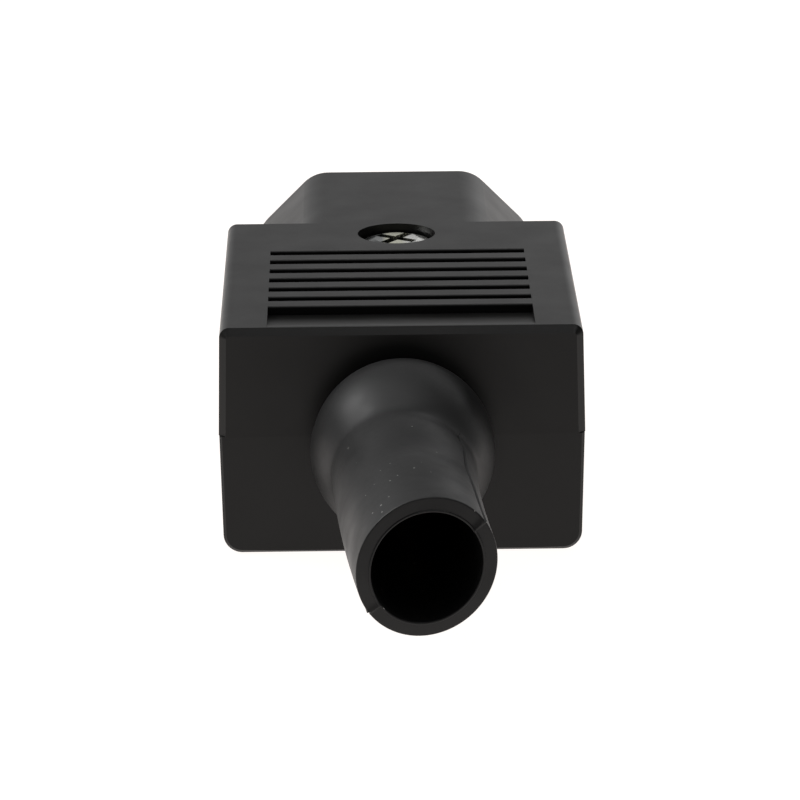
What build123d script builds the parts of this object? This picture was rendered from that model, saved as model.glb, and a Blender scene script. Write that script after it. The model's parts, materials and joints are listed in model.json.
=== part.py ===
"""Rewireable three-slot mains connector with an empty, slightly leaning cord boot.

The origin is the centre of the flat underside, +Y points out of the nose and +Z is up. The body is two
moulded halves that meet at the parting height. They are held by one screw and nut, and trap the contact
carrier in the nose and the flange of the boot in the rear wall. All sizes are in millimetres.
"""
from math import cos, radians, sqrt
import os

from build123d import *

# Body: both halves are widest and longest where they meet, and draw in towards top and bottom.
body_width = 28.8
body_length = 33.0
body_height = 18.4
parting_height = 9.7
draft_angle = 1.2
wall = 2.0
top_edge_radius = 0.8
bottom_edge_radius = 1.5
rear_edge_chamfer = 0.55
end_edge_chamfer = 0.25
parting_step = 0.05
tongue_width = 0.8
tongue_height = 0.8
tongue_end_gap = 4.0

# Nose: its top is flush with the top of the body.
nose_width = 24.0
nose_height = 16.0
nose_length = 17.8
nose_chamfer = 5.0
nose_corner_radius = 3.0
nose_edge_chamfer = 0.5
nose_wall = 1.6

# Grip: ribs between grooves, and a hollow ramp from the rear edge down to the first rib.
rib_count = 6
rib_pitch = 2.8
groove_width = 1.1
groove_depth = 0.7
grip_length = 21.0
grip_setback = 6.75
ramp_setback = 1.0
ramp_hollow = 0.14
rib_edge_radius = 0.15

# Screw and nut that hold the halves together.
screw_setback = 4.0
screw_diameter = 3.0
screw_head_diameter = 5.6
screw_head_height = 1.9
screw_head_bevel_height = 0.3
screw_head_bevel_width = 1.0
screw_head_sink = 0.4
cross_slot_width = 0.8
cross_slot_depth = 1.0
cross_slot_length = 3.6
cross_slot_turn = 55.0
recess_diameter = 6.5
recess_wall = 1.0
seat_thickness = 0.9
pillar_diameter = 6.0
nut_width = 5.5
nut_height = 2.4
nut_sink = 0.6

# Contact carrier in the nose.
carrier_front_gap = 0.3
carrier_rear_gap = 1.0
carrier_flange_thickness = 1.5
carrier_flange_lip = 0.8
slot_width = 2.5
slot_height = 4.5
slot_lead_in = 0.4
slot_face_thickness = 3.0
chamber_width = 4.6
chamber_height = 4.2

# Contacts: the two side ones lie below the middle of the nose, the earth one above it.
contact_side_margin = 5.0
contact_offset = 2.0
contact_height = 3.8
strip_thickness = 0.5
leaf_length = 9.0
leaf_spread = 3.1
leaf_neck = 2.0
leaf_mouth = 3.3
leaf_tip_gap = 0.5
leaf_neck_setback = 1.6
strip_bend_radius = 1.2
earth_side_step = 4.2

# Terminals on their pedestals.
terminal_width = 4.8
terminal_length = 5.5
terminal_height = 4.6
terminal_pillar_gap = 3.7
terminal_slot_depth = 1.6
wire_hole_diameter = 2.6
wire_hole_depth = 3.7
terminal_screw_setback = 2.0
terminal_screw_diameter = 3.0
terminal_screw_length = 2.2
terminal_screw_head_diameter = 4.2
terminal_screw_head_height = 1.2
drive_slot_width = 0.7
drive_slot_depth = 0.6
hold_down_length = 1.4
barrier_thickness = 1.0

# Cord clamp behind the terminals.
clamp_setback = 5.8
clamp_length = 4.0
clamp_ear_thickness = 1.8
clamp_arch_wall = 1.6
clamp_roof_gap = 0.9
cord_room_diameter = 8.4
clamp_post_diameter = 5.2
clamp_post_inset = 3.6
clamp_screw_diameter = 2.6
clamp_screw_length = 6.0
clamp_screw_head_diameter = 4.4
clamp_screw_head_height = 1.6
saddle_thickness = 1.6
saddle_drop = 1.2

# Boot: a ball-shaped root in the rear wall and a tube that leans to +X about the middle of the ball.
boot_length = 32.2
boot_lean_angle = 2.7
boot_ball_radius = 7.15
boot_ball_offset = 3.9
boot_neck_diameter = 11.0
boot_end_diameter = 10.4
boot_bore_diameter = 8.2
boot_neck_radius = 2.5
boot_end_chamfer = 0.25
boot_flange_lip = 0.9
boot_flange_thickness = 1.8
boot_rib_thickness = 1.2

# Clearances.
fit_gap = 0.1
loose_gap = 0.2

# Places worked out from the sizes above.
rear_y = -body_length / 2
front_y = body_length / 2
nose_tip_y = front_y + nose_length
nose_middle = body_height - nose_height / 2
screw_y = front_y - screw_setback
head_seat = body_height - screw_head_sink - screw_head_height
nut_pocket_depth = nut_sink + nut_height
screw_hole_radius = screw_diameter / 2 + loose_gap
side_contact_x = nose_width / 2 - contact_side_margin
side_contact_z = nose_middle - contact_offset
earth_contact_z = nose_middle + contact_offset
carrier_rear_y = front_y + carrier_rear_gap
carrier_front_y = nose_tip_y - carrier_front_gap
leaf_tip_y = carrier_front_y - slot_face_thickness - leaf_tip_gap
leaf_root_y = leaf_tip_y - leaf_length
terminal_front_y = screw_y - pillar_diameter / 2 - terminal_pillar_gap
terminal_rear_y = terminal_front_y - terminal_length
terminal_screw_y = terminal_rear_y + terminal_screw_setback
clamp_rear_y = rear_y + clamp_setback
clamp_y = clamp_rear_y + clamp_length / 2
clamp_post_x = body_width / 2 - wall - clamp_post_inset
arch_radius = cord_room_diameter / 2 + clamp_arch_wall
cord_height = body_height - wall - clamp_roof_gap - arch_radius
flange_rear_y = rear_y + wall
flange_front_y = flange_rear_y + boot_flange_thickness
ball_y = rear_y - boot_ball_offset
boot_hole_radius = sqrt(boot_ball_radius**2 - boot_ball_offset**2) + loose_gap
boot_flange_radius = boot_hole_radius + boot_flange_lip
side_wall_middle = body_width / 2 - wall / 2
far = 4 * (body_length + nose_length + boot_length)


def block(x0, x1, y0, y1, z0, z1):
    """A box between two corners."""
    centre = ((x0 + x1) / 2, (y0 + y1) / 2, (z0 + z1) / 2)
    return Pos(*centre) * Box(abs(x1 - x0), abs(y1 - y0), abs(z1 - z0))


def post(x, y, z0, z1, radius):
    """An upright cylinder from z0 to z1."""
    return Pos(x, y, (z0 + z1) / 2) * Cylinder(radius, abs(z1 - z0))


def lying_rod(y0, y1, radius, z=parting_height):
    """A cylinder along Y on the middle plane."""
    rod = Rot(90, 0, 0) * Rot(0, 0, 45) * Cylinder(radius, abs(y1 - y0))
    return Pos(0, (y0 + y1) / 2, z) * rod


def above_parting(shape):
    return shape & block(-far, far, -far, far, parting_height, far)


def below_parting(shape):
    return shape & block(-far, far, -far, far, -far, parting_height)


def parting_plane(direction):
    """The parting plane, facing up (1) or down (-1)."""
    return Plane(origin=(0, 0, parting_height), x_dir=(1, 0, 0), z_dir=(0, 0, direction))


def drafted_half(direction, width, length, height):
    """A block that stands on the parting plane and draws in away from it."""
    outline = parting_plane(direction) * Rectangle(width, length)
    return extrude(outline, amount=height, taper=draft_angle)


def rounded_half(direction, width, length, height, long_radius, rear_chamfer):
    """The outside of one half: long edges are rounded, and the rims of the two end faces are bevelled."""
    half = drafted_half(direction, width, length, height)
    outer_face = half.faces().sort_by(Axis.Z)[-1 if direction > 0 else 0]
    half = fillet(outer_face.edges().filter_by(Axis.Y), long_radius)
    for end, size in ((0, rear_chamfer), (-1, end_edge_chamfer)):
        face = half.faces().sort_by(Axis.Y)[end]
        rim = [edge for edge in face.edges() if abs(edge.center().Z - parting_height) > fit_gap]
        half = chamfer(rim, size)
    return half


def nose_outline(inset):
    """The nose section, drawn in by inset: a rectangle with its two upper corners cut at 45 degrees."""
    half = nose_width / 2 - inset
    top = body_height - inset
    bottom = body_height - nose_height + inset
    cut = nose_chamfer - inset * (2 - sqrt(2))
    points = [
        (-half, bottom),
        (half, bottom),
        (half, top - cut),
        (half - cut, top),
        (cut - half, top),
        (-half, top - cut),
    ]
    section = make_face(Polyline(*points, close=True))
    radius = max(nose_corner_radius - inset, fit_gap)
    return fillet(section.vertices(), radius)


def along_y(section, y0, y1):
    """A section drawn in X and Z, extruded from y0 to y1."""
    plane = Plane(origin=(0, y1, 0), x_dir=(1, 0, 0), z_dir=(0, -1, 0))
    return extrude(plane * section, amount=y1 - y0)


def nose_sleeve():
    """The nose wall, open in front, with the groove that holds the flange of the carrier."""
    sleeve = along_y(nose_outline(0), front_y - wall / 2, nose_tip_y)
    front_rim = sleeve.faces().sort_by(Axis.Y)[-1].edges()
    sleeve = chamfer(front_rim, nose_edge_chamfer)
    return sleeve - nose_tunnel() - carrier_groove()


def nose_tunnel():
    return along_y(nose_outline(nose_wall), front_y - 2 * wall, nose_tip_y + wall)


def carrier_groove():
    inset = nose_wall - carrier_flange_lip - fit_gap
    end = carrier_rear_y + carrier_flange_thickness + fit_gap
    return along_y(nose_outline(inset), carrier_rear_y - fit_gap, end)


def grip_cut():
    """The grooves between the ribs and the ramp behind them, as one section across the top."""
    bottom = body_height - groove_depth
    first_wall = rear_y + grip_setback
    over = body_height + wall
    foot = (first_wall, bottom)
    ramp_top = (rear_y + ramp_setback, body_height)
    ramp_middle = ((foot[0] + ramp_top[0]) / 2, (foot[1] + ramp_top[1]) / 2 - ramp_hollow)
    section = make_face(
        [
            Polyline(ramp_top, (ramp_top[0], over), (first_wall, over), foot),
            ThreePointArc(foot, ramp_middle, ramp_top),
        ]
    )
    for number in range(1, rib_count + 1):
        groove_end = first_wall + number * rib_pitch
        middle = (groove_end - groove_width / 2, (bottom + over) / 2)
        section += Pos(*middle) * Rectangle(groove_width, over - bottom)
    return extrude(Plane.YZ * section, amount=grip_length / 2, both=True)


def soften_grip(shell):
    """Rounds the upper edges of the ribs."""
    first = rear_y + grip_setback - fit_gap
    last = first + rib_count * rib_pitch + 2 * fit_gap
    rims = [
        edge
        for edge in shell.edges().filter_by(Axis.X)
        if abs(edge.center().Z - body_height) < fit_gap and first < edge.center().Y < last
    ]
    return fillet(rims, rib_edge_radius)


def tongue(gap):
    """The two straight tongues on the side walls, grown by gap for the grooves that take them."""
    half_length = body_length / 2 - tongue_end_gap + gap
    pair = []
    for side in (-1, 1):
        middle = side * side_wall_middle
        reach = tongue_width / 2 + gap
        top = parting_height + tongue_height + gap
        pair.append(
            block(middle - reach, middle + reach, -half_length, half_length, parting_height, top)
        )
    return pair[0] + pair[1]


def boot_seat():
    """The hole in the rear wall and the round pocket inside it, for the root and flange of the boot."""
    hole = lying_rod(rear_y - wall, flange_rear_y + wall, boot_hole_radius)
    return hole + lying_rod(flange_rear_y, flange_front_y + fit_gap, boot_flange_radius + loose_gap)


def boot_rib(z0, z1):
    """The rib that keeps the flange of the boot against the rear wall."""
    y0 = flange_front_y + fit_gap
    rib = block(-side_wall_middle, side_wall_middle, y0, y0 + boot_rib_thickness, z0, z1)
    return rib - lying_rod(y0 - wall, y0 + boot_rib_thickness + wall, cord_room_diameter / 2)


def cord_room():
    """The round way for the cord between the clamp and its saddle."""
    y0 = clamp_rear_y - wall
    y1 = clamp_rear_y + clamp_length + wall
    return lying_rod(y0, y1, cord_room_diameter / 2, cord_height)


def terminal_places():
    """Name, X and Z of the three contacts and terminals."""
    return [
        ("line", -side_contact_x, side_contact_z),
        ("neutral", side_contact_x, side_contact_z),
        ("earth", 0, earth_contact_z),
    ]


def make_upper_shell():
    height = body_height - parting_height
    shell = rounded_half(1, body_width, body_length, height, top_edge_radius, rear_edge_chamfer)
    shell -= drafted_half(1, body_width - 2 * wall, body_length - 2 * wall, height - wall)
    under_roof = body_height - wall / 2
    shell += boot_rib(parting_height, under_roof)
    for _, x, z in terminal_places():
        reach = terminal_width / 2 - loose_gap
        foot = z + terminal_height / 2 + fit_gap
        y0 = terminal_front_y - hold_down_length
        shell += block(x - reach, x + reach, y0, terminal_front_y, foot, under_roof)
    shell -= nose_tunnel()
    shell += above_parting(nose_sleeve())
    cup_radius = recess_diameter / 2 + recess_wall
    shell += post(0, screw_y, head_seat - seat_thickness, under_roof, cup_radius)
    shell += post(0, screw_y, parting_height, head_seat, pillar_diameter / 2)
    shell -= post(0, screw_y, head_seat, body_height + wall, recess_diameter / 2)
    shell -= post(0, screw_y, parting_height - wall, head_seat, screw_hole_radius)
    shell -= boot_seat() + tongue(fit_gap)
    return soften_grip(shell - grip_cut())


def make_lower_shell():
    width = body_width - 2 * parting_step
    length = body_length - 2 * parting_step
    shell = rounded_half(
        -1, width, length, parting_height, bottom_edge_radius, end_edge_chamfer
    )
    inner_height = parting_height - wall
    shell -= drafted_half(-1, body_width - 2 * wall, body_length - 2 * wall, inner_height)
    in_floor = wall / 2
    shell += boot_rib(in_floor, parting_height)
    for _, x, z in terminal_places():
        reach = terminal_width / 2 - loose_gap
        seat = z - terminal_height / 2
        shell += block(x - reach, x + reach, terminal_rear_y, terminal_front_y, in_floor, seat)
    for side in (-1, 1):
        middle = side * side_contact_x / 2
        reach = barrier_thickness / 2
        barrier_end = screw_y - pillar_diameter / 2
        shell += block(
            middle - reach, middle + reach, terminal_rear_y, barrier_end, in_floor, parting_height
        )
        shell += post(
            side * clamp_post_x, clamp_y, in_floor, parting_height, clamp_post_diameter / 2
        )
    saddle_top = parting_height - saddle_drop
    saddle = block(
        -clamp_post_x,
        clamp_post_x,
        clamp_y - saddle_thickness / 2,
        clamp_y + saddle_thickness / 2,
        in_floor,
        saddle_top,
    )
    shell += saddle - cord_room()
    shell -= nose_tunnel()
    shell += below_parting(nose_sleeve())
    pocket_radius = (nut_width / 2 + fit_gap) / cos(radians(30))
    base_top = nut_pocket_depth + recess_wall
    shell += post(0, screw_y, in_floor, base_top, pocket_radius + recess_wall)
    shell += post(0, screw_y, in_floor, parting_height, pillar_diameter / 2)
    pocket = extrude(RegularPolygon(pocket_radius, 6), amount=nut_pocket_depth)
    shell -= Pos(0, screw_y, 0) * pocket
    shell -= post(0, screw_y, 0, parting_height + wall, screw_hole_radius)
    for side in (-1, 1):
        hole_bottom = parting_height + clamp_ear_thickness - clamp_screw_length - loose_gap
        hole_radius = clamp_screw_diameter / 2 + fit_gap
        shell -= post(
            side * clamp_post_x, clamp_y, hole_bottom, parting_height + wall, hole_radius
        )
    return shell - boot_seat() + tongue(0)


def slot_cut(x, z):
    """One slot of the socket face, with its lead-in, and the chamber of the contact behind it."""
    face_y = carrier_front_y
    inner_y = face_y - slot_face_thickness
    chamber = block(
        x - chamber_width / 2,
        x + chamber_width / 2,
        carrier_rear_y - wall,
        inner_y,
        z - chamber_height / 2,
        z + chamber_height / 2,
    )
    mouth = block(
        x - slot_width / 2,
        x + slot_width / 2,
        inner_y - slot_lead_in,
        face_y + wall,
        z - slot_height / 2,
        z + slot_height / 2,
    )
    facing = Plane(origin=(x, face_y, z), x_dir=(1, 0, 0), z_dir=(0, -1, 0))
    wide = facing * Rectangle(slot_width + 2 * slot_lead_in, slot_height + 2 * slot_lead_in)
    lead_in = extrude(wide, amount=slot_lead_in, taper=45)
    return chamber + mouth + lead_in


def make_contact_carrier():
    carrier = along_y(nose_outline(nose_wall + fit_gap), carrier_rear_y, carrier_front_y)
    flange = nose_outline(nose_wall - carrier_flange_lip)
    carrier += along_y(flange, carrier_rear_y, carrier_rear_y + carrier_flange_thickness)
    for _, x, z in terminal_places():
        carrier -= slot_cut(x, z)
    return carrier


def fork_section():
    """The two spring leaves and the bar that joins them, in plan, about X = 0."""
    neck_y = leaf_tip_y - leaf_neck_setback
    section = trace(
        Line((-leaf_spread / 2, leaf_root_y), (leaf_spread / 2, leaf_root_y)), strip_thickness
    )
    for side in (-1, 1):
        leaf = FilletPolyline(
            (side * leaf_spread / 2, leaf_root_y - strip_thickness / 2),
            (side * leaf_spread / 2, leaf_root_y + leaf_length / 3),
            (side * leaf_neck / 2, neck_y),
            (side * leaf_mouth / 2, leaf_tip_y),
            radius=strip_bend_radius,
        )
        section += trace(leaf, strip_thickness)
    return section


def make_side_contact(x):
    tail = Line((0, leaf_root_y), (0, terminal_front_y - terminal_slot_depth))
    section = fork_section() + trace(tail, strip_thickness)
    bottom = side_contact_z - contact_height / 2
    return Pos(x, 0, bottom) * extrude(section, amount=contact_height)


def make_earth_contact():
    """Like the side contacts, with a tail that steps round the screw pillar."""
    clear = pillar_diameter / 2 + strip_bend_radius
    tail = FilletPolyline(
        (0, leaf_root_y),
        (0, screw_y + clear + strip_bend_radius),
        (earth_side_step, screw_y + pillar_diameter / 2),
        (earth_side_step, screw_y - pillar_diameter / 4),
        (0, terminal_front_y + 2 * strip_bend_radius),
        (0, terminal_front_y - terminal_slot_depth),
        radius=strip_bend_radius,
    )
    section = fork_section() + trace(tail, strip_thickness)
    bottom = earth_contact_z - contact_height / 2
    return Pos(0, 0, bottom) * extrude(section, amount=contact_height)


def make_terminal(x, z):
    """A brass block with a wire hole behind, a screw hole above and a slot for the contact tail."""
    top = z + terminal_height / 2
    body = block(
        x - terminal_width / 2,
        x + terminal_width / 2,
        terminal_rear_y,
        terminal_front_y,
        z - terminal_height / 2,
        top,
    )
    wire_hole = lying_rod(
        terminal_rear_y - wall, terminal_rear_y + wire_hole_depth, wire_hole_diameter / 2, z
    )
    slot = block(
        x - strip_thickness / 2,
        x + strip_thickness / 2,
        terminal_front_y - terminal_slot_depth,
        terminal_front_y + wall,
        z - contact_height / 2,
        z + contact_height / 2,
    )
    screw_hole = post(
        x, terminal_screw_y, z, top + wall, terminal_screw_diameter / 2 + fit_gap
    )
    return body - Pos(x, 0, 0) * wire_hole - slot - screw_hole


def slotted_screw(x, y, seat, radius, length, head_radius, head_height):
    """A cheese-head screw with a straight drive slot, its head standing on the seat."""
    head_top = seat + head_height
    screw = post(x, y, seat - length, seat, radius) + post(x, y, seat, head_top, head_radius)
    slot = block(
        x - drive_slot_width / 2,
        x + drive_slot_width / 2,
        y - 2 * head_radius,
        y + 2 * head_radius,
        head_top - drive_slot_depth,
        head_top + wall,
    )
    return screw - slot


def make_terminal_screw(x, z):
    return slotted_screw(
        x,
        terminal_screw_y,
        z + terminal_height / 2,
        terminal_screw_diameter / 2,
        terminal_screw_length,
        terminal_screw_head_diameter / 2,
        terminal_screw_head_height,
    )


def make_cord_clamp():
    """A bar with an arch over the cord and a flat ear on each post."""
    y0 = clamp_rear_y
    y1 = clamp_rear_y + clamp_length
    reach = clamp_post_x + clamp_post_diameter / 2
    ears = block(-reach, reach, y0, y1, parting_height, parting_height + clamp_ear_thickness)
    clamp = ears + above_parting(lying_rod(y0, y1, arch_radius, cord_height))
    clamp -= cord_room()
    for side in (-1, 1):
        clamp -= post(
            side * clamp_post_x,
            clamp_y,
            parting_height - wall,
            parting_height + 2 * wall,
            clamp_screw_diameter / 2 + fit_gap,
        )
    return clamp


def make_cord_clamp_screws():
    seat = parting_height + clamp_ear_thickness
    pair = [
        slotted_screw(
            side * clamp_post_x,
            clamp_y,
            seat,
            clamp_screw_diameter / 2,
            clamp_screw_length,
            clamp_screw_head_diameter / 2,
            clamp_screw_head_height,
        )
        for side in (-1, 1)
    ]
    return Compound(children=pair)


def make_shell_screw():
    """A bevelled pan-head screw with a cross slot, from its seat in the recess through the nut."""
    head_top = head_seat + screw_head_height
    head_radius = screw_head_diameter / 2
    bevel_foot = head_top - screw_head_bevel_height
    bevel = Cone(head_radius, head_radius - screw_head_bevel_width, screw_head_bevel_height)
    head = post(0, screw_y, head_seat, bevel_foot, head_radius)
    head += Pos(0, screw_y, (bevel_foot + head_top) / 2) * bevel
    screw = head + post(0, screw_y, nut_sink, head_seat, screw_diameter / 2)
    slot = Box(cross_slot_length, cross_slot_width, 2 * cross_slot_depth)
    cross = slot + Rot(0, 0, 90) * slot
    return screw - Pos(0, screw_y, head_top) * Rot(0, 0, cross_slot_turn) * cross


def make_shell_nut():
    radius = nut_width / 2 / cos(radians(30))
    nut = extrude(RegularPolygon(radius, 6), amount=nut_height)
    turned = Pos(0, 0, nut_height / 2) * Cylinder(radius, nut_height)
    outer_rim = turned.edges().filter_by(GeomType.CIRCLE).sort_by(Axis.Z)[0]
    turned = chamfer(outer_rim, radius - nut_width / 2)
    nut = (nut & turned) - post(0, 0, -wall, nut_height + wall, screw_diameter / 2 + fit_gap)
    return Pos(0, screw_y, nut_sink) * nut


def make_boot():
    """The leaning ball and tube outside, and the collar and flange inside the rear wall."""
    tube_length = boot_length - boot_ball_offset
    ball = make_face(
        [
            Line((0, -boot_ball_radius), (0, boot_ball_radius)),
            ThreePointArc(
                (0, -boot_ball_radius), (boot_ball_radius, 0), (0, boot_ball_radius)
            ),
        ]
    )
    tube = make_face(
        Polyline(
            (0, 0),
            (boot_neck_diameter / 2, 0),
            (boot_end_diameter / 2, tube_length),
            (0, tube_length),
            close=True,
        )
    )
    section = ball + tube
    neck = [v for v in section.vertices() if v.X > fit_gap and fit_gap < v.Y < tube_length - fit_gap]
    section = fillet(neck, boot_neck_radius)
    rim = [v for v in section.vertices() if v.X > fit_gap and v.Y > tube_length - fit_gap]
    section = chamfer(rim, boot_end_chamfer)
    lean = Pos(0, ball_y, parting_height) * Rot(0, 0, 180 + boot_lean_angle)
    boot = lean * revolve(section, Axis.Y)
    boot &= block(-far, far, -far, rear_y, -far, far)
    boot += lying_rod(ball_y, flange_rear_y, boot_hole_radius - loose_gap - fit_gap)
    boot += lying_rod(flange_rear_y, flange_front_y, boot_flange_radius)
    bore_radius = boot_bore_diameter / 2
    tube_bore = Pos(0, tube_length, 0) * Rot(90, 0, 0) * Cylinder(bore_radius, 2 * tube_length)
    root_bore = lying_rod(ball_y, flange_front_y + wall, bore_radius)
    turn = Pos(0, ball_y, parting_height) * Sphere(bore_radius)
    return boot - lean * tube_bore - root_bore - turn


def make_parts():
    parts = {
        "upper_shell": make_upper_shell(),
        "lower_shell": make_lower_shell(),
        "contact_carrier": make_contact_carrier(),
        "line_contact": make_side_contact(-side_contact_x),
        "neutral_contact": make_side_contact(side_contact_x),
        "earth_contact": make_earth_contact(),
        "cord_clamp": make_cord_clamp(),
        "cord_clamp_screws": make_cord_clamp_screws(),
        "shell_screw": make_shell_screw(),
        "shell_nut": make_shell_nut(),
        "boot": make_boot(),
    }
    for name, x, z in terminal_places():
        parts[name + "_terminal"] = make_terminal(x, z)
        parts[name + "_terminal_screw"] = make_terminal_screw(x, z)
    return parts


os.makedirs("parts", exist_ok=True)
for node, shape in make_parts().items():
    export_step(shape, os.path.join("parts", node + ".step"))
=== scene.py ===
"""Looks of a black rewireable mains connector, seen from its empty cord boot, on a pale floor."""
import json
import math

import bmesh
import bpy
from mathutils import Matrix, Vector


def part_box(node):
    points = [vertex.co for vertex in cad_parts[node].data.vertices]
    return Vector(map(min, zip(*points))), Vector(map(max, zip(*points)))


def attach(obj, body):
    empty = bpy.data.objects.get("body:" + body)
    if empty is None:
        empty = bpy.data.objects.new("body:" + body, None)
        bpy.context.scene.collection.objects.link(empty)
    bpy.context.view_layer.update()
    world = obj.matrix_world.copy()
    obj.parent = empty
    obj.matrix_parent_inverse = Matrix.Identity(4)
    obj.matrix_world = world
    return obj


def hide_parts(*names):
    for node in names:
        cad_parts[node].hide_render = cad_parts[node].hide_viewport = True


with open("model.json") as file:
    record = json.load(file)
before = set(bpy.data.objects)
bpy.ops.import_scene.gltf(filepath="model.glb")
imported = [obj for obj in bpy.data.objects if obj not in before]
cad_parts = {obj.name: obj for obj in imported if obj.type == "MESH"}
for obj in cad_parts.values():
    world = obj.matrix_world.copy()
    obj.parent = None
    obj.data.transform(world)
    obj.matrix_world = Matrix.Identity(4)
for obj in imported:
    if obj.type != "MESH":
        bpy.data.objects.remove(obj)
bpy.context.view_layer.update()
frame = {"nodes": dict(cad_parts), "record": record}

MM = 0.001
UP = Vector((0, 0, 1))

# Camera: it looks along the connector from the boot end, a little from above.
CAMERA_AIM = Vector((-0.15, -16.4, 12.56)) * MM
CAMERA_DISTANCE = 353 * MM
CAMERA_ELEVATION = math.radians(16.95)
CAMERA_YAW = math.radians(0.69)
CAMERA_ROLL = math.radians(0.46)
CAMERA_LENS = 202.95
CAMERA_SENSOR = 36.0
CAMERA_CLIP_START = 0.01

# Boot: the sizes of the solid. The tube tapers from its start to its end.
BALL_RADIUS = 7.15 * MM
TUBE_START = 6 * MM
TUBE_ROOT_RADIUS = 5.53 * MM
TUBE_END_RADIUS = 5.19 * MM
COLLAR_RADIUS = 5.89 * MM
FLANGE_RADIUS = 7.09 * MM
FLANGE_THICKNESS = 1.8 * MM

# Soft form of the boot: the ball reaches furthest along the tube on the upper right, the neck is
# softest on the left, the tube bows to one side and grows oval towards its mouth.
BALL_REACH = 8.3 * MM
REACH_LEAN = 0.2
REACH_ANGLE = math.radians(35)
NECK_BLEND = 1.2 * MM
NECK_LEAN = 0.8
BOOT_BOW = 0.4 * MM
OVAL_SHARE = 0.04
OVAL_ANGLE = math.radians(53)

# Hollows where the tube bends: depth, place along it, half length, angle round it and half spread.
HOLLOWS = [
    (0.45 * MM, 15.0 * MM, 2.3 * MM, math.radians(75), math.radians(26)),
    (0.2 * MM, 7.3 * MM, 1.2 * MM, math.radians(75), math.radians(22)),
    (0.3 * MM, 6.6 * MM, 1.8 * MM, math.radians(44), math.radians(15)),
]

# End of the boot: a rounded rim, a crowned face and a bead round the mouth. It is trimmed so that
# the flash on it stays within the solid.
RIM_ROUNDING = 0.12 * MM
END_CROWN = 0.1 * MM
MOUTH_BEAD = 0.1 * MM
END_TRIM = 0.28 * MM

# Mould seams: a groove with a lip along both sides of the tube, a ridge of flash on the end face.
SEAM_ANGLE = math.radians(38)
SEAM_ANGLES = (SEAM_ANGLE, SEAM_ANGLE + math.pi)
SEAM_START = 6.1 * MM
SEAM_GROWTH = 0.9 * MM
SEAM_GROOVE = 0.15 * MM
SEAM_LIP = 0.09 * MM
SEAM_HALF_WIDTH = 0.1 * MM
FLASH_HEIGHT = 0.13 * MM
FLASH_UPPER_WIDTH = 0.42 * MM
FLASH_LOWER_WIDTH = 0.2 * MM

# Mesh of the boot: steps round it and along the runs of its section. Across a seam there are points
# at these half widths, and even steps closer than the last one times the clearance are left out.
ROUND_STEPS = 128
SKIN_STEPS = 140
RIM_STEPS = 5
FACE_STEPS = 4
MOUTH_STEPS = 8
BORE_STEPS = 30
SEAM_POINTS = (-2, -1, 0, 1, 2)
SEAM_CLEARANCE = 1.6
SHARP_ANGLE = math.radians(32)

# Surfaces: a fine grain, as scale and strength of a bump, and a gloss that changes slowly, as scale
# of its noise and as lowest and highest roughness.
GRAIN_DEPTH = 0.02 * MM
GRAIN_DETAIL = 3.0
GRAIN_FINENESS = 0.6
GLOSS_DETAIL = 4.0
GLOSS_FINENESS = 0.55
GLOSS_NOISE_BAND = (0.3, 0.7)
PLASTIC_GRAIN = (9000, 0.12)
PLASTIC_GLOSS_SCALE = 260
SHELL_COLOUR = (0.0042, 0.004, 0.0038, 1)
SHELL_IOR = 1.32
SHELL_ROUGHNESS = (0.33, 0.38)
CARRIER_COLOUR = (0.006, 0.006, 0.0062, 1)
CARRIER_IOR = 1.4
CARRIER_ROUGHNESS = (0.5, 0.6)
RUBBER_GRAIN = (6000, 0.1)
RUBBER_GLOSS_SCALE = 230
RUBBER_COLOUR = (0.005, 0.005, 0.0051, 1)
RUBBER_IOR = 1.36
RUBBER_ROUGHNESS = (0.38, 0.54)
METAL_GRAIN = (5000, 0.1)
METAL_GLOSS_SCALE = 900
BRASS_COLOUR = (0.72, 0.5, 0.2, 1)
BRASS_ROUGHNESS = (0.22, 0.38)
STEEL_COLOUR = (0.8, 0.8, 0.68, 1)
STEEL_ROUGHNESS = (0.17, 0.33)

# Screw head that shows: its colour from left to right, with painted shade on the left and a painted
# highlight on the right, and painted shade in its slots by the depth below its top.
HEAD_HALF_WIDTH = 2.8 * MM
PAINTED_SHADE_STEEL = (0.24, 0.25, 0.25, 1)
YELLOWED_STEEL = (0.8, 0.8, 0.64, 1)
PAINTED_HIGHLIGHT_STEEL = (1.0, 1.0, 0.97, 1)
# Colours across the head: painted shade on the left, the steel's yellowish tone in the middle, a
# painted highlight on the right.
HEAD_PAINTED_LIGHT_COLOURS = [
    (0.28, PAINTED_SHADE_STEEL),
    (0.36, YELLOWED_STEEL),
    (0.57, YELLOWED_STEEL),
    (0.68, PAINTED_HIGHLIGHT_STEEL),
]
# Painted shade that darkens the head's slots below its top.
SLOT_SHADE_COLOUR = (0.05, 0.05, 0.045, 1)
SLOT_SHADE_START_DEPTH = 0.3 * MM
SLOT_SHADE_FULL_DEPTH = 0.5 * MM

# Dust on the boot: specks in a share of the cells of a fine pattern, by slope and place along Y.
DUST_COLOUR = (0.3, 0.3, 0.29, 1)
DUST_SPACING = 0.6 * MM
DUST_RADIUS = 0.08 * MM
DUST_SMALLEST = 0.25
DUST_SHARE = 0.3
DUST_SLOPE = (0.1, 0.3)
DUST_RUN = (-26 * MM, -46 * MM)

# Floor: it glows, and less so away from the object, sooner to the sides than behind it.
FLOOR_SIZE = 4.0
FLOOR_DROP = 0.02 * MM
FLOOR_COLOUR = (0.12, 0.12, 0.12, 1)
FLOOR_ROUGHNESS = 0.9
FLOOR_TINT = (1.0, 0.95, 0.92, 1)
FLOOR_GLOW = (1.04, 0.6)
FLOOR_FADE = (0.22, 0.7)
FLOOR_STRETCH = (3.2, 1.0, 1.0)

# Studio walls: grey by height, and strength by how far behind the object they are.
WALL_GREYS = [(0.0, 0.68), (0.3, 0.43), (0.55, 0.16)]
WALL_DEPTH = (0.1, 0.85)
WALL_STRENGTH = (0.45, 1.0)

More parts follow.
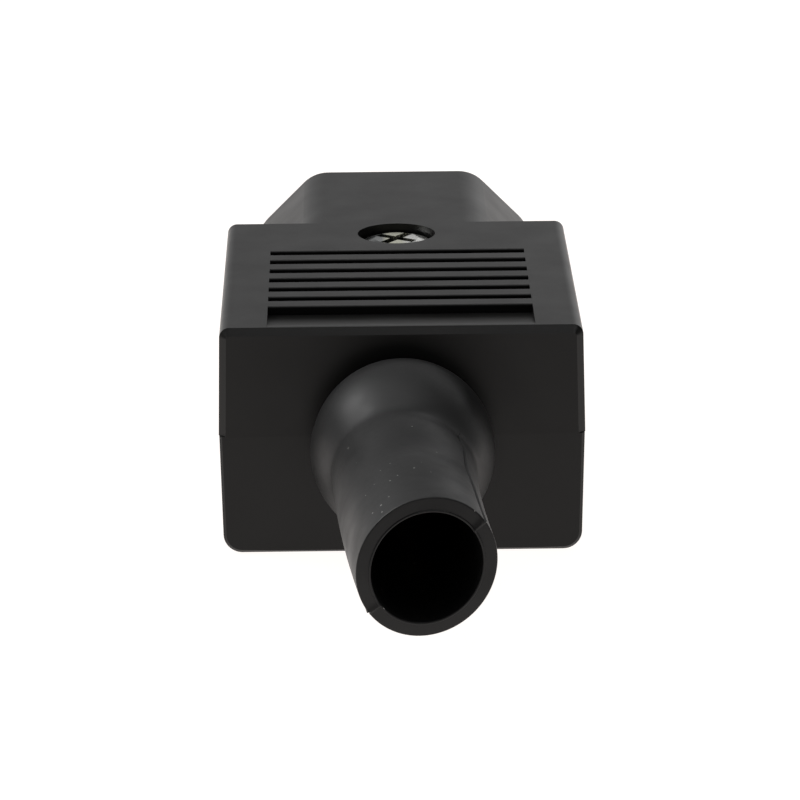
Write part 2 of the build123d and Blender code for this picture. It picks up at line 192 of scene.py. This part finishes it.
# Lights: name, place, what they face, width and height in metres, and power in watts.
FLOOR_MIDDLE = (0, 0, 0)
OBJECT_MIDDLE = (0, 0, 0.01)
LIGHTS = [
    ("left_softbox", (-0.68, 0.33, 0.65), OBJECT_MIDDLE, (0.58, 0.44), 5.8),
    ("top_softbox", (0.06, 0.15, 0.94), FLOOR_MIDDLE, (1.1, 0.45), 3.2),
    ("overhead_panel", (0.1, -0.35, 0.95), FLOOR_MIDDLE, (1.2, 0.6), 1.0),
    ("low_right_softbox", (0.5, 0.8, 0.35), OBJECT_MIDDLE, (0.6, 0.4), 0.5),
    ("rear_panel", (0.14, 0.957, 0.245), OBJECT_MIDDLE, (0.15, 0.12), 0.016),
    ("rear_softbox", (-0.06, 0.57, 0.81), OBJECT_MIDDLE, (0.6, 0.32), 0.3),
]


def new_material(name):
    """A new material with a shader and its output, and its nodes and links."""
    material = bpy.data.materials.new(name)
    material.use_nodes = True
    return material, material.node_tree.nodes, material.node_tree.links


def add_node(nodes, kind, **values):
    """A node whose inputs are set by name, with underscores for spaces."""
    node = nodes.new(kind)
    for key, value in values.items():
        node.inputs[key.replace("_", " ")].default_value = value
    return node


def remap(nodes, links, value, taken, given=(0, 1)):
    """A value carried from one range over to another, and held at its ends."""
    node = add_node(
        nodes,
        "ShaderNodeMapRange",
        From_Min=taken[0],
        From_Max=taken[1],
        To_Min=given[0],
        To_Max=given[1],
    )
    links.new(value, node.inputs["Value"])
    return node.outputs["Result"]


def axes(nodes, links, vector):
    """The X, Y and Z of a vector, by name."""
    node = nodes.new("ShaderNodeSeparateXYZ")
    links.new(vector, node.inputs["Vector"])
    return node.outputs


def combine(nodes, links, operation, first, second):
    """A product or a comparison of two values."""
    node = nodes.new("ShaderNodeMath")
    node.operation = operation
    links.new(first, node.inputs[0])
    links.new(second, node.inputs[1])
    return node.outputs["Value"]


def colour_ramp(nodes, links, value, stops):
    """Colours by a value. Each stop has a position and a colour, and they come in order."""
    node = nodes.new("ShaderNodeValToRGB")
    elements = node.color_ramp.elements
    elements[0].position, elements[0].color = stops[0]
    elements[1].position, elements[1].color = stops[-1]
    for position, colour in stops[1:-1]:
        elements.new(position).color = colour
    links.new(value, node.inputs["Fac"])
    return node.outputs["Color"]


def grain_bump(nodes, links, shader, grain):
    """Fine grain: noise in object space, as a bump on the shader's normal."""
    scale, strength = grain
    place = nodes.new("ShaderNodeTexCoord")
    noise = add_node(
        nodes, "ShaderNodeTexNoise", Scale=scale, Detail=GRAIN_DETAIL, Roughness=GRAIN_FINENESS
    )
    bump = add_node(nodes, "ShaderNodeBump", Strength=strength, Distance=GRAIN_DEPTH)
    links.new(place.outputs["Object"], noise.inputs["Vector"])
    links.new(noise.outputs["Fac"], bump.inputs["Height"])
    links.new(bump.outputs["Normal"], shader.inputs["Normal"])
    return place


def mottled_roughness(nodes, links, shader, place, scale, roughness):
    """Slow changes of gloss over the surface."""
    noise = add_node(
        nodes, "ShaderNodeTexNoise", Scale=scale, Detail=GLOSS_DETAIL, Roughness=GLOSS_FINENESS
    )
    links.new(place.outputs["Object"], noise.inputs["Vector"])
    spread = remap(nodes, links, noise.outputs["Fac"], GLOSS_NOISE_BAND, roughness)
    links.new(spread, shader.inputs["Roughness"])


def moulded_plastic(name, colour, ior, roughness):
    """Hard plastic with the grain of its mould."""
    material, nodes, links = new_material(name)
    shader = nodes["Principled BSDF"]
    shader.inputs["Base Color"].default_value = colour
    shader.inputs["IOR"].default_value = ior
    place = grain_bump(nodes, links, shader, PLASTIC_GRAIN)
    mottled_roughness(nodes, links, shader, place, PLASTIC_GLOSS_SCALE, roughness)
    return material


def dust_mask(nodes, links, place):
    """Sparse specks on what faces up, in some cells of a fine pattern, denser towards the end."""
    cells = add_node(nodes, "ShaderNodeTexVoronoi", Scale=1 / DUST_SPACING, Randomness=1.0)
    chance = nodes.new("ShaderNodeSeparateColor")
    surface = nodes.new("ShaderNodeNewGeometry")
    links.new(place.outputs["Object"], cells.inputs["Vector"])
    links.new(cells.outputs["Color"], chance.inputs["Color"])
    spot = axes(nodes, links, place.outputs["Object"])
    facing = axes(nodes, links, surface.outputs["Normal"])
    largest = DUST_RADIUS / DUST_SPACING
    smallest = DUST_SMALLEST * DUST_RADIUS / DUST_SPACING
    limit = remap(nodes, links, spot["Y"], DUST_RUN, (1.0, 1 - DUST_SHARE))
    size = remap(nodes, links, chance.outputs["Green"], (0, 1), (smallest, largest))
    upward = remap(nodes, links, facing["Z"], DUST_SLOPE)
    present = combine(nodes, links, "GREATER_THAN", chance.outputs["Red"], limit)
    inside = combine(nodes, links, "LESS_THAN", cells.outputs["Distance"], size)
    speck = combine(nodes, links, "MULTIPLY", present, inside)
    return combine(nodes, links, "MULTIPLY", speck, upward)


def boot_rubber():
    """Smooth soft rubber with uneven gloss and a little pale dust."""
    material, nodes, links = new_material("boot_rubber")
    shader = nodes["Principled BSDF"]
    shader.inputs["IOR"].default_value = RUBBER_IOR
    place = grain_bump(nodes, links, shader, RUBBER_GRAIN)
    mottled_roughness(nodes, links, shader, place, RUBBER_GLOSS_SCALE, RUBBER_ROUGHNESS)
    tint = nodes.new("ShaderNodeMix")
    tint.data_type = "RGBA"
    tint.inputs["A"].default_value = RUBBER_COLOUR
    tint.inputs["B"].default_value = DUST_COLOUR
    links.new(dust_mask(nodes, links, place), tint.inputs["Factor"])
    links.new(tint.outputs["Result"], shader.inputs["Base Color"])
    return material


def metal(name, colour, roughness):
    """Stamped or plated metal."""
    material, nodes, links = new_material(name)
    shader = nodes["Principled BSDF"]
    shader.inputs["Base Color"].default_value = colour
    shader.inputs["Metallic"].default_value = 1.0
    place = grain_bump(nodes, links, shader, METAL_GRAIN)
    mottled_roughness(nodes, links, shader, place, METAL_GLOSS_SCALE, roughness)
    return material


def steel_with_painted_light(top):
    """Plated steel of the screw head that shows, whose top is at this height.

    It has painted shade on the left, is yellowish in the middle, has a painted highlight on the
    right and has painted shade in its slots.
    """
    material = metal("steel_with_painted_light", STEEL_COLOUR, STEEL_ROUGHNESS)
    nodes, links = material.node_tree.nodes, material.node_tree.links
    place = nodes.new("ShaderNodeTexCoord")
    spot = axes(nodes, links, place.outputs["Object"])
    # Painted shade on the left of the head and a painted highlight on its right.
    across = remap(nodes, links, spot["X"], (-HEAD_HALF_WIDTH, HEAD_HALF_WIDTH))
    # Painted shade in the slots, darker with depth below the top.
    unshaded = remap(nodes, links, spot["Z"], (top - SLOT_SHADE_FULL_DEPTH, top - SLOT_SHADE_START_DEPTH))
    slot_shade = nodes.new("ShaderNodeMix")
    slot_shade.data_type = "RGBA"
    slot_shade.inputs["A"].default_value = SLOT_SHADE_COLOUR
    links.new(unshaded, slot_shade.inputs["Factor"])
    links.new(colour_ramp(nodes, links, across, HEAD_PAINTED_LIGHT_COLOURS), slot_shade.inputs["B"])
    links.new(slot_shade.outputs["Result"], nodes["Principled BSDF"].inputs["Base Color"])
    return material


def floor_material():
    """Pale floor whose glow fades away from the object."""
    material, nodes, links = new_material("studio_floor")
    shader = nodes["Principled BSDF"]
    shader.inputs["Base Color"].default_value = FLOOR_COLOUR
    shader.inputs["Roughness"].default_value = FLOOR_ROUGHNESS
    shader.inputs["Emission Color"].default_value = FLOOR_TINT
    place = nodes.new("ShaderNodeTexCoord")
    stretch = nodes.new("ShaderNodeVectorMath")
    stretch.operation = "MULTIPLY"
    stretch.inputs[1].default_value = FLOOR_STRETCH
    away = nodes.new("ShaderNodeVectorMath")
    away.operation = "LENGTH"
    links.new(place.outputs["Object"], stretch.inputs[0])
    links.new(stretch.outputs["Vector"], away.inputs[0])
    glow = remap(nodes, links, away.outputs["Value"], FLOOR_FADE, FLOOR_GLOW)
    links.new(glow, shader.inputs["Emission Strength"])
    return material


def dress(node, material):
    """Gives a node of the frame its material."""
    item = frame["nodes"][node]
    item.data.materials.clear()
    item.data.materials.append(material)


def cord_entry():
    """Middle of the ball, direction of the tube, its length and bore, from the record's mount."""
    entry = next(m for m in frame["record"]["mounts"] if m["name"] == "cord_entry")
    axis = Vector(entry["axis"]).normalized()
    length = entry["dims"]["length_mm"] * MM
    start = Vector(entry["pos_m"]) - axis * length / 2
    return start, axis, length, entry["dims"]["r_mm"] * MM


def arc(middle, radius, start, end, steps):
    """Points of an arc in the boot's section, without its first point.

    Each has its distance along the tube and its distance from the axis.
    """
    points = []
    for number in range(1, steps + 1):
        angle = start + (end - start) * number / steps
        points.append((middle[0] + radius * math.cos(angle), middle[1] + radius * math.sin(angle)))
    return points


def line(start, end, steps):
    """Points of a straight run in the boot's section, without its first point."""
    points = []
    for number in range(1, steps + 1):
        share = number / steps
        points.append(tuple(a + (b - a) * share for a, b in zip(start, end)))
    return points


def skin_radius(along, length, angle):
    """Radius of the boot's outside: the ball, which runs into the tapered tube."""
    if along < 0:
        return BALL_RADIUS * math.sqrt(max(0, 1 - (along / BALL_RADIUS) ** 2))
    reach = BALL_REACH * (1 + REACH_LEAN * math.cos(angle - REACH_ANGLE))
    ball = BALL_RADIUS * math.sqrt(max(0, 1 - (along / reach) ** 2))
    share = (along - TUBE_START) / (length - TUBE_START)
    tube = TUBE_ROOT_RADIUS + (TUBE_END_RADIUS - TUBE_ROOT_RADIUS) * share
    blend = NECK_BLEND * (1 - NECK_LEAN * math.cos(angle))
    near = max(blend - abs(ball - tube), 0) / blend
    return max(ball, tube) + blend * near**2 / 4


def boot_section(length, bore, rear, front):
    """The closed section of the boot, with the shares of the seam and of the flash at each point.

    It starts at the bore's inner end in the housing, goes out over the flange, the ball, the neck
    and the tube to the rim, and back through the bore. Points of the skin have no radius of their
    own, because it depends on the angle.
    """
    flange_rear = front + FLANGE_THICKNESS
    root = [
        (front, bore),
        (front, FLANGE_RADIUS),
        (flange_rear, FLANGE_RADIUS),
        (flange_rear, COLLAR_RADIUS),
        (rear, COLLAR_RADIUS),
    ]
    rim_start = length - MOUTH_BEAD - END_CROWN - RIM_ROUNDING
    skin = []
    for number in range(SKIN_STEPS + 1):
        along = rear + (rim_start - rear) * number / SKIN_STEPS
        skin.append((along, None))
    rim_middle = (rim_start, skin_radius(rim_start, length, 0) - RIM_ROUNDING)
    rim = arc(rim_middle, RIM_ROUNDING, math.pi / 2, 0, RIM_STEPS)
    face = line(rim[-1], (length - MOUTH_BEAD, bore + 2 * MOUTH_BEAD), FACE_STEPS)
    bead = (length - MOUTH_BEAD, bore + MOUTH_BEAD)
    mouth = arc(bead, MOUTH_BEAD, math.pi / 2, -math.pi / 2, MOUTH_STEPS)
    inside = line(mouth[-1], (front, bore), BORE_STEPS)[:-1]
    end = rim + face + mouth
    points = root + skin + end + inside
    seam = [0] * len(root)
    for along, _ in skin + rim:
        seam.append(min(max((along - SEAM_START) / SEAM_GROWTH, 0), 1))
    seam += [0] * (len(points) - len(seam))
    flash = [0] * len(root + skin) + [1] * len(end) + [0] * len(inside)
    return zip(points, seam, flash)


def ring_angles():
    """Even angles round the boot, with close ones in their place across the two seams."""
    offsets = [share * SEAM_HALF_WIDTH / TUBE_END_RADIUS for share in SEAM_POINTS]
    angles = [seam + offset for seam in SEAM_ANGLES for offset in offsets]
    clear = SEAM_CLEARANCE * offsets[-1]
    for number in range(ROUND_STEPS):
        angle = 2 * math.pi * number / ROUND_STEPS
        if all(abs(math.remainder(angle - seam, 2 * math.pi)) > clear for seam in SEAM_ANGLES):
            angles.append(angle)
    return sorted(angle % (2 * math.pi) for angle in angles)


def seam_height(angle):
    """How far the skin stands out at an angle: a groove with a lip on one side at each seam."""
    height = 0
    for seam in SEAM_ANGLES:
        turn = math.remainder(angle - seam, 2 * math.pi)
        place = turn * TUBE_END_RADIUS / SEAM_HALF_WIDTH
        height -= SEAM_GROOVE * max(0, 1 - abs(place))
        height += SEAM_LIP * max(0, 1 - abs(place + 1))
    return height


def hollow(along, angle):
    """How far the skin draws in at a place, in the soft hollows of the bend."""
    depth = 0
    for deepest, place, half_length, turn, half_spread in HOLLOWS:
        down = (along - place) / half_length
        round_it = math.remainder(angle - turn, 2 * math.pi) / half_spread
        depth += deepest * math.exp(-(down**2 + round_it**2) / 2)
    return depth


def flash_height(angle):
    """How far the end face stands out: a low ridge at each seam, wider on its upper side."""
    height = 0
    for seam, upper in zip(SEAM_ANGLES, (1, -1)):
        away = upper * math.remainder(angle - seam, 2 * math.pi) * TUBE_END_RADIUS
        width = FLASH_UPPER_WIDTH if away > 0 else FLASH_LOWER_WIDTH
        height += FLASH_HEIGHT * max(0, 1 - abs(away) / width)
    return height


def boot_frame(along, length, start, axis):
    """Middle of the boot at a place along it, and the directions forward, right and up there.

    Inside the housing the boot is straight. Outside it leans, and bows most at half its length.
    """
    if along > 0:
        share = along / length
        bow = -4 * BOOT_BOW * share * (1 - share)
        slope = -4 * BOOT_BOW * (1 - 2 * share) / length
        side = UP.cross(axis)
        middle = start + axis * along + side * bow
        forward = (axis + side * slope).normalized()
    else:
        forward = Vector((0, -1, 0))
        middle = start + forward * along
    right = UP.cross(forward)
    return middle, forward, right, forward.cross(right)


def boot_rings():
    """Points of the boot's surface, in one ring for each point of its section."""
    start, axis, length, bore = cord_entry()
    rear = start.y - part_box("upper_shell")[0][1]
    front = start.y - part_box("boot")[1][1]
    length -= END_TRIM
    angles = ring_angles()
    rings = []
    for (along, radius), seam, flash in boot_section(length, bore, rear, front):
        middle, forward, right, above = boot_frame(along, length, start, axis)
        oval = OVAL_SHARE * max(0, along - TUBE_START) / (length - TUBE_START)
        ring = []
        for angle in angles:
            wide = math.cos(angle - OVAL_ANGLE) / (1 + oval)
            tall = math.sin(angle - OVAL_ANGLE) / (1 - oval)
            reach = radius or skin_radius(along, length, angle)
            out = reach / math.hypot(wide, tall) + seam * seam_height(angle)
            if reach > bore:
                out -= hollow(along, angle)
            spoke = right * math.cos(angle) + above * math.sin(angle)
            ring.append(middle + spoke * out + forward * flash * flash_height(angle))
        rings.append(ring)
    return rings


def make_boot(material):
    """The cord boot: a ball root and a tube that bows, leans and ends in an oval mouth."""
    mesh = bmesh.new()
    rings = [[mesh.verts.new(point) for point in ring] for ring in boot_rings()]
    count = len(rings[0])
    for near, far in zip(rings, rings[1:] + rings[:1]):
        for k in range(count):
            mesh.faces.new((near[k], near[(k + 1) % count], far[(k + 1) % count], far[k]))
    bmesh.ops.recalc_face_normals(mesh, faces=mesh.faces)
    for face in mesh.faces:
        face.smooth = True
    data = bpy.data.meshes.new("cord_boot")
    mesh.to_mesh(data)
    mesh.free()
    data.set_sharp_from_angle(angle=SHARP_ANGLE)
    boot = bpy.data.objects.new("cord_boot", data)
    bpy.context.collection.objects.link(boot)
    data.materials.append(material)
    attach(boot, "root")
    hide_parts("boot")


def dress_connector():
    """Gives each node the material of its slot, the screw its head with painted light and shade,
    and the boot its skin.
    """
    rubber = boot_rubber()
    by_slot = {
        "shell_plastic": moulded_plastic(
            "shell_plastic", SHELL_COLOUR, SHELL_IOR, SHELL_ROUGHNESS
        ),
        "carrier_plastic": moulded_plastic(
            "carrier_plastic", CARRIER_COLOUR, CARRIER_IOR, CARRIER_ROUGHNESS
        ),
        "boot_rubber": rubber,
        "brass": metal("brass", BRASS_COLOUR, BRASS_ROUGHNESS),
        "plated_steel": metal("plated_steel", STEEL_COLOUR, STEEL_ROUGHNESS),
    }
    for part in frame["record"]["subparts"]:
        dress(part["node"], by_slot[part["material_slot"]])
    dress("shell_screw", steel_with_painted_light(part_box("shell_screw")[1][2]))
    make_boot(rubber)


def make_floor():
    """A plain floor just under the object."""
    bpy.ops.mesh.primitive_plane_add(size=FLOOR_SIZE)
    floor = bpy.context.object
    floor.name = "studio_floor"
    floor.location.z = -FLOOR_DROP
    floor.data.materials.append(floor_material())


def make_world():
    """A studio that is pale low down behind the object and darker overhead and in front."""
    world = bpy.data.worlds.new("studio")
    world.use_nodes = True
    nodes, links = world.node_tree.nodes, world.node_tree.links
    background = nodes["Background"]
    place = nodes.new("ShaderNodeTexCoord")
    direction = axes(nodes, links, place.outputs["Generated"])
    stops = [(position, (grey, grey, grey, 1)) for position, grey in WALL_GREYS]
    colour = colour_ramp(nodes, links, direction["Z"], stops)
    strength = remap(nodes, links, direction["Y"], WALL_DEPTH, WALL_STRENGTH)
    links.new(colour, background.inputs["Color"])
    links.new(strength, background.inputs["Strength"])
    bpy.context.scene.world = world


def area_light(name, place, target, size, power):
    """A rectangular lamp that faces its target."""
    data = bpy.data.lights.new(name, "AREA")
    data.shape = "RECTANGLE"
    data.size, data.size_y = size
    data.energy = power
    light = bpy.data.objects.new(name, data)
    bpy.context.collection.objects.link(light)
    light.location = place
    direction = Vector(target) - Vector(place)
    light.rotation_euler = direction.to_track_quat("-Z", "Y").to_euler()


def make_studio():
    """The floor, the walls and the lights."""
    make_floor()
    make_world()
    for light in LIGHTS:
        area_light(*light)
    bpy.context.scene.view_settings.view_transform = "Standard"


def make_camera():
    """The camera, at its distance from the point it aims at, with a slight roll."""
    data = bpy.data.cameras.new("camera")
    data.lens = CAMERA_LENS
    data.sensor_width = CAMERA_SENSOR
    data.clip_start = CAMERA_CLIP_START
    camera = bpy.data.objects.new("camera", data)
    bpy.context.collection.objects.link(camera)
    flat = math.cos(CAMERA_ELEVATION)
    forward = Vector(
        (flat * math.sin(CAMERA_YAW), flat * math.cos(CAMERA_YAW), -math.sin(CAMERA_ELEVATION))
    )
    right = forward.cross(UP).normalized()
    above = right.cross(forward)
    rolled_up = above * math.cos(CAMERA_ROLL) + right * math.sin(CAMERA_ROLL)
    rolled_right = forward.cross(rolled_up)
    turn = Matrix((rolled_right, rolled_up, -forward)).transposed()
    camera.matrix_world = Matrix.LocRotScale(
        CAMERA_AIM - forward * CAMERA_DISTANCE, turn.to_quaternion(), None
    )
    bpy.context.scene.camera = camera


dress_connector()
make_studio()
make_camera()
